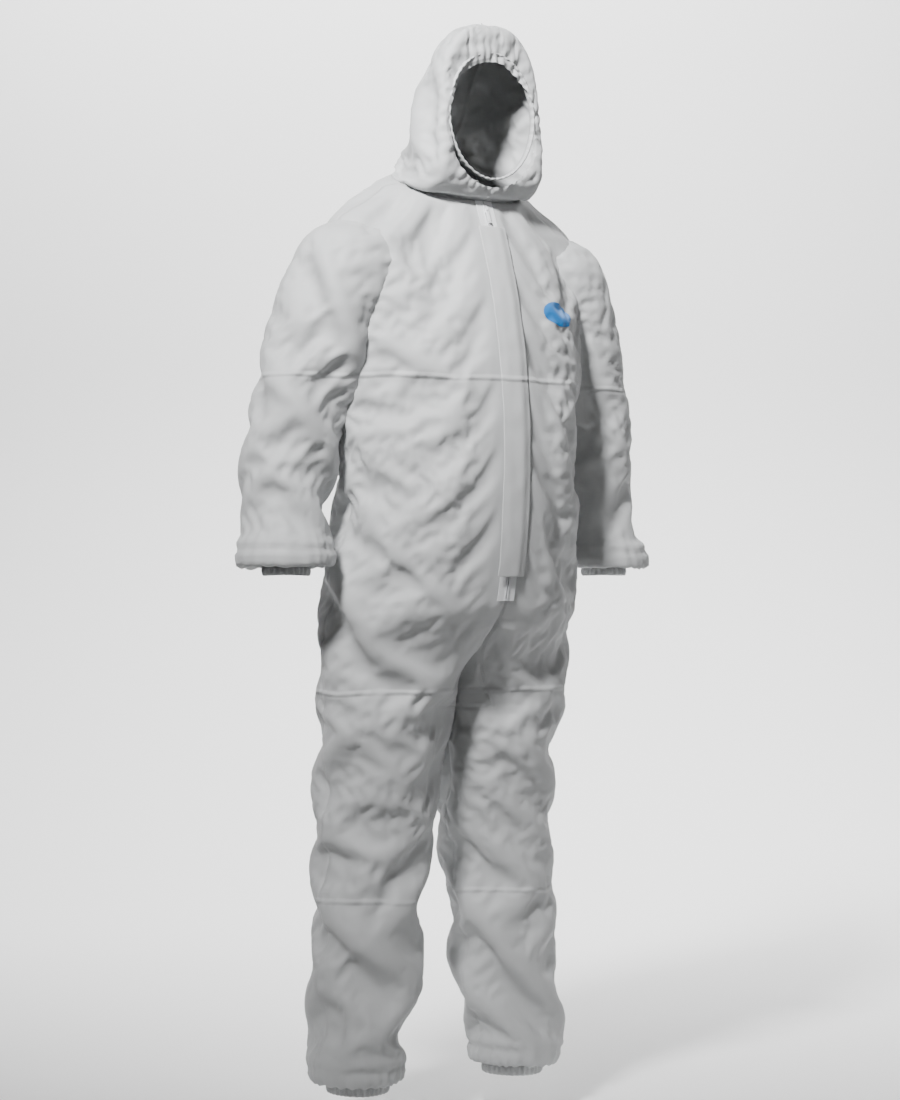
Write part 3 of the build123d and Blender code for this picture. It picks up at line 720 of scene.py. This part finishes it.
def gathers(rest):
    """Small pleats where elastic draws in the ankles, the wrists and the face."""
    x, y, z = rest[:, 0], rest[:, 1], rest[:, 2]
    total = np.zeros(len(rest))
    reach, rise = 0.045, 0.0034
    leg_foot = z < -1.30
    sleeve_foot = (z < -0.50) & (z > -0.66)
    for node, folds, zone in (("ankle_hem_left", 24, leg_foot & (x > 0)),
                              ("ankle_hem_right", 24, leg_foot & (x < 0)),
                              ("wrist_hem_left", 20, sleeve_foot & (x > 0.22)),
                              ("wrist_hem_right", 20, sleeve_foot & (x < -0.22))):
        low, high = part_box(node)
        middle = 0.5 * (low + high)
        angle = np.arctan2(y - middle.y, x - middle.x)
        beside = np.hypot(x - middle.x, y - middle.y) - 0.5 * (high.x - low.x)
        away = np.abs(z - high.z) + np.maximum(0.0, beside)
        phase = 2.0 * np.sin(3.0 * angle + middle.x * 9.0) + 1.2 * np.sin(5.0 * angle)
        near = smooth_step(away, 0.0, 0.008) * np.exp(-away / reach)
        total += np.where(zone, rise * np.sin(folds * angle + phase) * near, 0.0)
    low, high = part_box("face_hem")
    middle = 0.5 * (low + high)
    half_x, half_z = 0.5 * (high.x - low.x), 0.5 * (high.z - low.z)
    side, up = x / half_x, (z - middle.z) / half_z
    away = np.maximum(0.0, np.hypot(side, up) - 1.0) * half_x + np.maximum(0.0, y - low.y)
    angle = np.arctan2(up, side)
    phase = 1.5 * np.sin(3.0 * angle) + 1.0 * np.sin(7.0 * angle + 1.0)
    rim = (z > 0.0) & (y < -0.02) & (np.abs(x) < 0.13)
    total += np.where(rim, 0.0017 * np.sin(40 * angle + phase) * np.exp(-away / 0.020), 0.0)
    return total


def crisper(obj):
    """A second, finer settling for the small sharp creases of a crisp cloth."""
    mesh = obj.data
    base = positions(mesh)
    flat = np.zeros(len(base) * 3)
    mesh.attributes["rest"].data.foreach_get("vector", flat)
    rest = flat.reshape(-1, 3)
    hold = held_share(rest)
    out = normals_of(mesh)
    bump = 0.0022 * noise_field(base * np.array([1.0, 1.0, 1.35]), 0.034, 5)
    bump += 0.0010 * noise_field(base, 0.017, 6)
    bump += 0.55 * fold_height(rest, out)
    calm = calm_by_fly(rest, 0.09)
    target = base + out * (bump * (1.0 - hold) * calm)[:, None]
    growth = FINE_GROWTH * (1.0 + noise_field(base, 0.13, 7))
    moved = settle(base, target, hold, mesh, growth, 22, (1.0, 0.5, 0.4, 0.06), 0.010)
    fold = moved - base
    moved = base + fold * calm[:, None] * (1.0 - hold)[:, None]
    moved = sharpened(moved, mesh, 0.9 * calm * (1.0 - hold))
    moved += out * gathers(rest)[:, None]
    move_cloth(mesh, rest, moved)


keep_rest(cloth, simulate(cloth))
subdivide(cloth)
crisper(cloth)


# ---------------------------------------------------------------- cutting the cloth into panels
FACE_LOW, FACE_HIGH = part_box("face_hem")
FACE_Z = 0.5 * (FACE_LOW.z + FACE_HIGH.z)
FACE_A = 0.5 * (FACE_HIGH.x - FACE_LOW.x) - 0.001
FACE_B = 0.5 * (FACE_HIGH.z - FACE_LOW.z) - 0.001
BADGE_LOW, BADGE_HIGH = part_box("chest_badge")
BADGE_MIDDLE = 0.5 * (BADGE_LOW + BADGE_HIGH)
BADGE_TURN = math.radians(40.0)
BADGE_A = 0.036
BADGE_B = 0.019


def cut(bm, layer, faces, value):
    """Splits the faces along the line where a function of the rest position is zero."""
    edges = {e for f in faces for e in f.edges}
    verts = {v for f in faces for v in f.verts}
    kept = {v: v.co.copy() for v in verts}
    carry = bm.verts.layers.float_vector["now"]
    for v in verts:
        v[carry] = kept[v]
        r = v[layer]
        v.co = Vector((value(r), r.x + 0.37 * r.y, r.z + 0.21 * r.y))
    result = bmesh.ops.bisect_plane(bm, geom=list(verts) + list(edges) + list(faces), dist=1e-5,
                                    plane_co=(0, 0, 0), plane_no=(1, 0, 0))
    touched = verts | {g for g in result["geom"] if isinstance(g, bmesh.types.BMVert)}
    touched |= {g for g in result["geom_cut"] if isinstance(g, bmesh.types.BMVert)}
    for v in touched:
        if v.is_valid:
            v.co = v[carry]


def rest_centre(face, layer):
    total = Vector((0, 0, 0))
    for v in face.verts:
        total += v[layer]
    return total / len(face.verts)


def near_face(r):
    return math.hypot(r.x / FACE_A, (r.z - FACE_Z) / FACE_B) - 1.0


def gusset_edge(r):
    return abs(r.x) - GUSSET_HALF * (GUSSET_TOP - r.z) / (GUSSET_TOP - GUSSET_FOOT)


def badge_edge(r):
    off = r - BADGE_MIDDLE
    across = off.x * math.cos(BADGE_TURN) + off.y * math.sin(BADGE_TURN)
    return math.hypot(across / BADGE_A, off.z / BADGE_B) - 1.0


def armhole_value(r):
    """Below 1 inside the oval prism where the sleeve passes through the shoulder."""
    lean = math.radians(37.0)
    side, high = abs(r.x) - 0.205, r.z + 0.135
    along = side * math.cos(lean) + high * math.sin(lean)
    through = side * math.sin(lean) - high * math.cos(lean)
    return math.hypot(along / 0.08, (r.y - 0.014) / 0.076), through


def split_lines(bm, rest_layer, label):
    """Cuts the cloth along the edges of the panels, the face opening and the badge."""
    def split(test, value):
        cut(bm, rest_layer, [f for f in bm.faces if test(rest_centre(f, rest_layer), f[label])], value)

    def hood(r, k):
        return k == HOOD_CENTRE

    def chin(r, k):
        return hood(r, k) and r.z < FACE_Z

    def crotch(r, k):
        return k < GUSSET and abs(r.x) < 0.075 and -0.86 < r.z < -0.70

    split(lambda r, k: hood(r, k) and abs(r.x) < 0.06, lambda r: abs(r.x) - HOOD_STRIP_HALF)
    split(lambda r, k: chin(r, k) and abs(r.x) < 0.05 and abs(r.y) < 0.03, lambda r: r.y)
    split(lambda r, k: chin(r, k) and abs(r.x) < 0.012 and r.y < 0.0, lambda r: r.x)
    split(lambda r, k: hood(r, k) and r.y < -0.03 and abs(near_face(r)) < 0.35, near_face)
    opening = [f for f in bm.faces if in_opening(rest_centre(f, rest_layer), f[label])]
    bmesh.ops.delete(bm, geom=opening, context="FACES")
    split(crotch, gusset_edge)
    split(crotch, lambda r: r.z - GUSSET_FOOT)
    split(lambda r, k: k == FRONT_LEFT and abs(badge_edge(r)) < 0.5 and r.y < 0.0, badge_edge)


def in_opening(r, k):
    return k == HOOD_CENTRE and r.y < -0.03 and near_face(r) < 0.0


def in_armhole(r):
    """True for the cloth of the body that the top of the sleeve covers."""
    value, through = armhole_value(r)
    return value < 0.6 and abs(through) < 0.05 and abs(r.x) > 0.17


def name_panels(bm, rest_layer, label):
    """Gives the cut faces their panels and removes what lies inside the armholes."""
    hidden = []
    for f in bm.faces:
        r = rest_centre(f, rest_layer)
        if f[label] == HOOD_CENTRE:
            if not (abs(r.x) < HOOD_STRIP_HALF and (r.z > FACE_Z or r.y > 0.0)):
                f[label] = HOOD_LEFT if r.x > 0 else HOOD_RIGHT
        elif f[label] < GUSSET:
            if GUSSET_FOOT < r.z < GUSSET_TOP and gusset_edge(r) < 0.0:
                f[label] = GUSSET
            if in_armhole(r):
                hidden.append(f)
    bmesh.ops.delete(bm, geom=hidden, context="FACES")


def seam_verts(bm, rest_layer, label):
    """Points on the line between two panels, on a free edge or on the middle of the body."""
    seams = set()
    for e in bm.edges:
        kinds = {f[label] for f in e.link_faces}
        middle = max(abs(v[rest_layer].x) for v in e.verts) < 1e-5
        middle = middle and min(kinds, default=GUSSET) < GUSSET
        if len(kinds) > 1 or len(e.link_faces) == 1 or middle:
            seams.update(e.verts)
    return seams


def cut_panels(obj):
    """Cuts the cloth into panels, and keeps each point's distance to the nearest seam."""
    bm = bmesh.new()
    bm.from_mesh(obj.data)
    bm.verts.layers.float_vector.new("now")
    rest_layer = bm.verts.layers.float_vector["rest"]
    label = bm.faces.layers.int["panel"]
    split_lines(bm, rest_layer, label)
    name_panels(bm, rest_layer, label)
    tree = nearest([v[rest_layer] for v in seam_verts(bm, rest_layer, label)])
    reach = bm.verts.layers.float.new("seam")
    rest_layer = bm.verts.layers.float_vector["rest"]
    for v in bm.verts:
        v[reach] = min(tree.find(v[rest_layer])[2], 0.05)
    bm.to_mesh(obj.data)
    bm.free()


cut_panels(cloth)


def take(obj, name, wanted):
    """A new piece with only the faces whose centre and label pass a test."""
    bm = bmesh.new()
    bm.from_mesh(obj.data)
    label = bm.faces.layers.int["panel"]
    layer = bm.verts.layers.float_vector["rest"]
    drop = [f for f in bm.faces if not wanted(f, label, layer)]
    bmesh.ops.delete(bm, geom=drop, context="FACES")
    under = bm.verts.layers.float["underarm"]
    opened = [e for e in bm.edges if min(v[under] for v in e.verts) > 0.999]
    bmesh.ops.split_edges(bm, edges=opened)
    mesh = bpy.data.meshes.new(name)
    bm.to_mesh(mesh)
    bm.free()
    mesh.polygons.foreach_set("use_smooth", [True] * len(mesh.polygons))
    piece = bpy.data.objects.new(name, mesh)
    bpy.context.scene.collection.objects.link(piece)
    return piece


def by_label(number):
    return lambda f, label, layer: f[label] == number


pieces = {name: take(cloth, name + "_cloth", by_label(number)) for number, name in enumerate(PANELS)}


def on_badge(f, label, layer):
    r = rest_centre(f, layer)
    return f[label] == FRONT_LEFT and r.y < 0.0 and badge_edge(r) < 0.0


badge = take(cloth, "badge_print", on_badge)
BADGE_LIFT = 0.0007
lifted = positions(badge.data) + normals_of(badge.data) * BADGE_LIFT
badge.data.vertices.foreach_set("co", lifted.ravel())
badge.data.update()
bpy.data.objects.remove(cloth)


# ---------------------------------------------------------------- hems, flap and small parts
def mesh_piece(name, points, faces, smooth=True):
    mesh = bpy.data.meshes.new(name)
    mesh.from_pydata([tuple(p) for p in points], [], faces)
    mesh.polygons.foreach_set("use_smooth", [smooth] * len(mesh.polygons))
    mesh.update()
    obj = bpy.data.objects.new(name, mesh)
    bpy.context.scene.collection.objects.link(obj)
    return obj


def tube_faces(rows, count, flip):
    """Faces round a closed section that is swept along a closed loop."""
    faces = []
    for i in range(rows):
        for j in range(count):
            a, b = i * count + j, i * count + (j + 1) % count
            c, d = (i + 1) % rows * count + (j + 1) % count, (i + 1) % rows * count + j
            faces.append((a, d, c, b) if flip else (a, b, c, d))
    return faces


def gathered_ring(name, node, folds, seed):
    """Elasticated hem: a folded casing whose outer layer is gathered into small pleats."""
    low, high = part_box(node)
    centre = 0.5 * (low + high)
    outer = 0.5 * (high.x - low.x)
    height = high.z - low.z
    inner = outer - 0.0036
    count = 360
    profile = [(inner, 0.9), (inner - 0.0004, 0.5), (inner, 0.1), (0.5 * (inner + outer), 0.0),
               (outer - 0.0003, 0.1), (outer + 0.0006, 0.3), (outer + 0.0012, 0.55),
               (outer + 0.0008, 0.8), (outer - 0.0002, 1.0), (0.5 * (inner + outer), 1.02)]
    points = []
    for radius, level in profile:
        for k in range(count):
            angle = math.tau * k / count
            way = Vector((math.cos(angle), math.sin(angle), 0.0))
            wobble = noise.noise(Vector((way.x * 2.4, way.y * 2.4, seed)))
            wave = math.sin(folds * angle + 2.2 * wobble)
            fine = noise.noise(Vector((way.x * 11.0, way.y * 11.0, seed + level)))
            pleat = (0.0011 * wave + 0.0007 * fine) * (1.0 if radius > inner + 0.001 else 0.25)
            tilt = 0.0006 * math.sin(2 * angle + seed)
            place = centre + way * (radius + pleat)
            place.z = low.z + level * height + tilt * (1 if level < 0.3 else 0.2)
            points.append(place)
    return mesh_piece(name, points, tube_faces(len(profile), count, False))


def face_rim():
    """The gathered casing round the face, following the cut edge of the hood."""
    count = 420
    middle = 0.5 * (FACE_LOW.y + FACE_HIGH.y)
    depth = FACE_HIGH.y - FACE_LOW.y
    profile = [(-0.0022, 0.0), (-0.0026, 0.5), (-0.0020, 1.0), (-0.0008, 1.05),
               (0.0002, 0.8), (0.0012, 0.3), (0.0010, -0.12), (-0.0008, -0.2)]
    points = []
    for out, level in profile:
        for k in range(count):
            angle = math.tau * k / count
            wobble = noise.noise(Vector((math.cos(angle) * 2.0, math.sin(angle) * 2.0, 4.0)))
            wave = math.sin(46 * angle + 3.0 * wobble)
            fine = noise.noise(Vector((math.cos(angle) * 12.0, math.sin(angle) * 12.0, level)))
            extra = 0.0004 * wave + 0.0004 * fine
            a, b = FACE_A + out + extra, FACE_B + out + extra
            y = middle - 0.5 * depth + level * depth + 0.0005 * wave
            points.append((a * math.cos(angle), y, FACE_Z + b * math.sin(angle)))
    return mesh_piece("face_hem_cloth", points, tube_faces(len(profile), count, True))


hems = {}
for hem, folds, seed in (("ankle_hem_left", 34, 1.0), ("wrist_hem_left", 26, 5.0),
                         ("ankle_hem_right", 34, 2.0), ("wrist_hem_right", 26, 6.0)):
    hems[hem] = gathered_ring(hem + "_cloth", hem, folds, seed)
hems["face_hem"] = face_rim()

FLAP_LOW, FLAP_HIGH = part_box("storm_flap")
ARC = frame["joints"][0]
ARC_Y, ARC_Z = ARC["pos_m"][1], ARC["pos_m"][2]
ARC_RADIUS = 1.0


def arc_y(z, offset):
    return ARC_Y - math.sqrt((ARC_RADIUS + offset) ** 2 - (z - ARC_Z) ** 2)


def storm_flap():
    """Double strip of cloth sewn down on the wearer's left, standing a little off the zip."""
    columns, rows = 15, 150
    points = []
    for i in range(rows):
        share = i / (rows - 1)
        z = FLAP_HIGH.z + (FLAP_LOW.z - FLAP_HIGH.z) * share
        wavy = noise.noise(Vector((0.0, 3.0, z / 0.07)))
        slow = noise.noise(Vector((5.0, 1.0, z / 0.19)))
        for j in range(columns):
            t = j / (columns - 1)
            right = FLAP_LOW.x + 0.0015 + 0.0018 * slow
            x = FLAP_HIGH.x + (right - FLAP_HIGH.x) * t
            lift = 0.0052 * float(smooth_step(t, 0.0, 0.35)) + 0.0024
            lift += (0.0014 * wavy + 0.0012 * slow) * t
            lift -= 0.0012 * float(smooth_step(t, 0.7, 1.0))
            ripple = 0.0009 * noise.noise(Vector((x / 0.02, 9.0, z / 0.03)))
            y = arc_y(z, lift + ripple)
            points.append((x, y, z))
    flap = mesh_piece("storm_flap_cloth", points, quads(rows, columns, 0, False, False))
    thick = flap.modifiers.new("cloth", "SOLIDIFY")
    thick.thickness = 0.0011
    thick.offset = 0.0
    finer = flap.modifiers.new("finer", "SUBSURF")
    finer.levels = finer.render_levels = 1
    return flap


flap = storm_flap()


# ---------------------------------------------------------------- materials
def new_material(name, colour, roughness):
    """A material of one colour, with its shader and the place on the object."""
    material = bpy.data.materials.new(name)
    material.use_nodes = True
    tree = material.node_tree
    shader = tree.nodes["Principled BSDF"]
    shader.inputs["Base Color"].default_value = (*colour, 1)
    shader.inputs["Roughness"].default_value = roughness
    return material, tree, shader, tree.nodes.new("ShaderNodeTexCoord").outputs["Object"]


def add_node(tree, kind, links, values=None, **options):
    """A shader node with its options set and its inputs linked or given values."""
    node = tree.nodes.new("ShaderNode" + kind)
    for option, choice in options.items():
        setattr(node, option, choice)
    for socket, source in links.items():
        tree.links.new(source, node.inputs[socket])
    for socket, value in (values or {}).items():
        node.inputs[socket].default_value = value
    return node.outputs


def add_bump(tree, height, strength, distance, under=None):
    """A bump over the one before it, as the normals that it leaves."""
    links = {"Height": height}
    if under is not None:
        links["Normal"] = under
    return add_node(tree, "Bump", links, {"Strength": strength, "Distance": distance})["Normal"]


def mottled(tree, where, colour):
    """The colour with faint darker clouds."""
    cloud = add_node(tree, "TexNoise", {"Vector": where}, {"Scale": 38.0, "Detail": 4.0})["Fac"]
    ramp = tree.nodes.new("ShaderNodeValToRGB")
    low, high = ramp.color_ramp.elements
    low.position, high.position = 0.25, 0.75
    low.color = (*[c * 0.955 for c in colour], 1)
    high.color = (*colour, 1)
    tree.links.new(cloud, ramp.inputs["Fac"])
    return ramp.outputs["Color"]


def packing_crease(tree, level, height, wander, under):
    """A line across the suit where it was folded in its packet, wandering a few millimetres."""
    shift = add_node(tree, "Math", {0: wander}, {1: 0.016, 2: -0.008 - level}, operation="MULTIPLY_ADD")
    off = add_node(tree, "Math", {0: height, 1: shift["Value"]}, operation="ADD")
    apart = add_node(tree, "Math", {0: off["Value"]}, operation="ABSOLUTE")
    edge = add_node(tree, "MapRange", {"Value": apart["Value"]},
                    {"From Max": 0.006, "To Min": 1.0, "To Max": 0.0}, interpolation_type="SMOOTHSTEP")
    return add_bump(tree, edge["Result"], 0.7, 0.0022, under)


def fabric_material(name, colour, seam=True):
    """Matt spunbond cloth: fine bonded dots, faint mottling, small creases and stitched seams."""
    material, tree, shader, where = new_material(name, colour, 0.62)
    tree.links.new(mottled(tree, where, colour), shader.inputs["Base Color"])
    shader.inputs["Specular IOR Level"].default_value = 0.35
    shader.inputs["Sheen Weight"].default_value = 0.12
    shader.inputs["Sheen Roughness"].default_value = 0.4
    creases = add_node(tree, "TexNoise", {"Vector": where},
                       {"Scale": 9.0, "Detail": 3.0, "Roughness": 0.45}, noise_type="RIDGED_MULTIFRACTAL")
    normal = add_bump(tree, creases["Fac"], 0.35, 0.0022)
    dots = add_node(tree, "TexVoronoi", {"Vector": where}, {"Scale": 700.0, "Randomness": 0.25})
    normal = add_bump(tree, dots["Distance"], 0.18, 0.0002, normal)
    height = add_node(tree, "SeparateXYZ", {"Vector": where})["Z"]
    wander = add_node(tree, "TexNoise", {"Vector": where}, {"Scale": 7.0})["Fac"]
    for level in PACK_CREASES:
        normal = packing_crease(tree, level, height, wander, normal)
    if seam:
        away = add_node(tree, "Attribute", {}, attribute_name="seam")["Fac"]
        groove = add_node(tree, "MapRange", {"Value": away}, {"From Min": 0.0, "From Max": 0.0055})
        normal = add_bump(tree, groove["Result"], 0.8, 0.002, normal)
    tree.links.new(normal, shader.inputs["Normal"])
    return material


def plain_material(name, colour, roughness, scale, depth, coat=0.0):
    """Even colour with a fine procedural grain."""
    material, tree, shader, where = new_material(name, colour, roughness)
    shader.inputs["Coat Weight"].default_value = coat
    grain = add_node(tree, "TexNoise", {"Vector": where}, {"Scale": scale})["Fac"]
    tree.links.new(add_bump(tree, grain, 0.3, depth), shader.inputs["Normal"])
    return material


def woven_material(name, colour, pitch, rise, roughness=0.7):
    """Tape, coil or ribbon: bands across its length, a given pitch apart."""
    material, tree, shader, where = new_material(name, colour, roughness)
    waves_per_unit = 0.314
    bands = add_node(tree, "TexWave", {"Vector": where},
                     {"Scale": waves_per_unit / pitch, "Distortion": 0.0}, bands_direction="Z")["Fac"]
    tree.links.new(add_bump(tree, bands, 0.8, rise), shader.inputs["Normal"])
    return material


WHITE = (0.50, 0.508, 0.512)
cloth_white = fabric_material("suit nonwoven", WHITE)
hem_white = fabric_material("hem nonwoven", WHITE, seam=False)
flap_white = fabric_material("flap nonwoven", (0.55, 0.558, 0.562), seam=False)
tape_white = woven_material("zip tape weave", (0.78, 0.79, 0.80), 0.0007, 0.0002)
coil_white = woven_material("zip coil", (0.74, 0.75, 0.77), 0.0013, 0.0007, roughness=0.35)
stop_white = plain_material("zip stops", (0.74, 0.75, 0.77), 0.35, 900.0, 0.0001)
slider_white = plain_material("enamelled slider", (0.78, 0.79, 0.80), 0.3, 300.0, 0.0001, coat=0.4)
elastic_white = woven_material("knitted elastic", (0.80, 0.80, 0.79), 0.0011, 0.0003)
label_white = woven_material("woven label", (0.88, 0.88, 0.87), 0.0005, 0.0001, roughness=0.45)
badge_blue = plain_material("printed badge", (0.027, 0.215, 0.590), 0.45, 500.0, 0.0001)


def paint(obj, material):
    obj.data.materials.clear()
    obj.data.materials.append(material)


for obj in pieces.values():
    paint(obj, cloth_white)
for obj in hems.values():
    paint(obj, hem_white)
paint(flap, flap_white)
paint(badge, badge_blue)
for material, names in ((tape_white, ("zip_tape_left", "zip_tape_right")),
                        (coil_white, ("zip_coil_left", "zip_coil_right")),
                        (stop_white, ("zip_top_stops", "zip_bottom_stop")),
                        (slider_white, ("zip_slider", "zip_pull_tab")),
                        (label_white, ("care_label",)),
                        (elastic_white, ("waist_elastic", "face_elastic",
                                         "wrist_elastic_left", "wrist_elastic_right",
                                         "ankle_elastic_left", "ankle_elastic_right"))):
    for name in names:
        paint(nodes[name], material)


# ---------------------------------------------------------------- what rides on what
def stand_in(obj, node, body):
    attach(obj, body)
    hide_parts(node)


for name, obj in list(pieces.items()) + list(hems.items()):
    stand_in(obj, name, "garment")
stand_in(badge, "chest_badge", "garment")
stand_in(flap, "storm_flap", "flap")


# ---------------------------------------------------------------- studio
def area_light(name, place, target, size, power, spread=180.0):
    data = bpy.data.lights.new(name, "AREA")
    data.shape = "RECTANGLE"
    data.spread = math.radians(spread)
    data.size, data.size_y = size
    data.energy = power
    obj = bpy.data.objects.new(name, data)
    obj.location = place
    obj.rotation_euler = (Vector(target) - Vector(place)).to_track_quat("-Z", "Y").to_euler()
    bpy.context.scene.collection.objects.link(obj)


def backdrop():
    """Pale floor that curves up into a wall far behind the suit."""
    floor_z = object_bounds()[0].z - 0.06
    near, start, bend, top, side = -6.0, 2.2, 1.5, 7.0, 8.0
    steps = 12
    profile = [(near, 0.0), (start, 0.0)]
    for k in range(1, steps + 1):
        angle = 0.5 * math.pi * k / steps
        profile.append((start + bend * math.sin(angle), bend - bend * math.cos(angle)))
    profile.append((start + bend, top))
    points = []
    for along, rise in profile:
        for share in (-side, side):
            place = VIEW_AHEAD * along + VIEW_ACROSS * share
            points.append((place.x, place.y, floor_z + rise))
    faces = [(2 * k, 2 * k + 1, 2 * k + 3, 2 * k + 2) for k in range(len(profile) - 1)]
    return mesh_piece("studio_floor", points, faces)


floor = backdrop()
paint(floor, plain_material("pale floor", (0.93, 0.93, 0.93), 0.9, 3.0, 0.0001))
area_light("key", (-2.3, -1.5, 1.9), (0.0, 0.0, 0.2), (0.5, 0.4), 34.0, 52.0)
area_light("front", (0.2, -3.4, 1.3), (0.0, 0.0, 0.1), (0.8, 0.8), 2.6, 72.0)
area_light("rim", (2.6, 0.2, 1.5), (0.0, 0.0, -0.2), (0.7, 0.9), 20.0)
area_light("wall", (0.9, 1.6, 3.4), (2.4, 3.4, -0.2), (3.6, 0.8), 260.0, 120.0)
world = bpy.context.scene.world or bpy.data.worlds.new("studio")
bpy.context.scene.world = world
world.use_nodes = True
world_nodes = world.node_tree.nodes
background = world_nodes.get("Background") or world_nodes.new("ShaderNodeBackground")
background.inputs["Color"].default_value = (0.93, 0.94, 0.95, 1)
background.inputs["Strength"].default_value = 0.04

camera_data = bpy.data.cameras.new("photo_view")
camera_data.lens = 86.1
camera_data.sensor_width = 36.0
camera_data.shift_x = -0.0086
camera_data.shift_y = 0.0209
camera = bpy.data.objects.new("photo_view", camera_data)
camera.location = (-2.438, -3.481, -0.623)
camera.rotation_euler = VIEW_AHEAD.to_track_quat("-Z", "Y").to_euler()
bpy.context.scene.collection.objects.link(camera)
bpy.context.scene.camera = camera
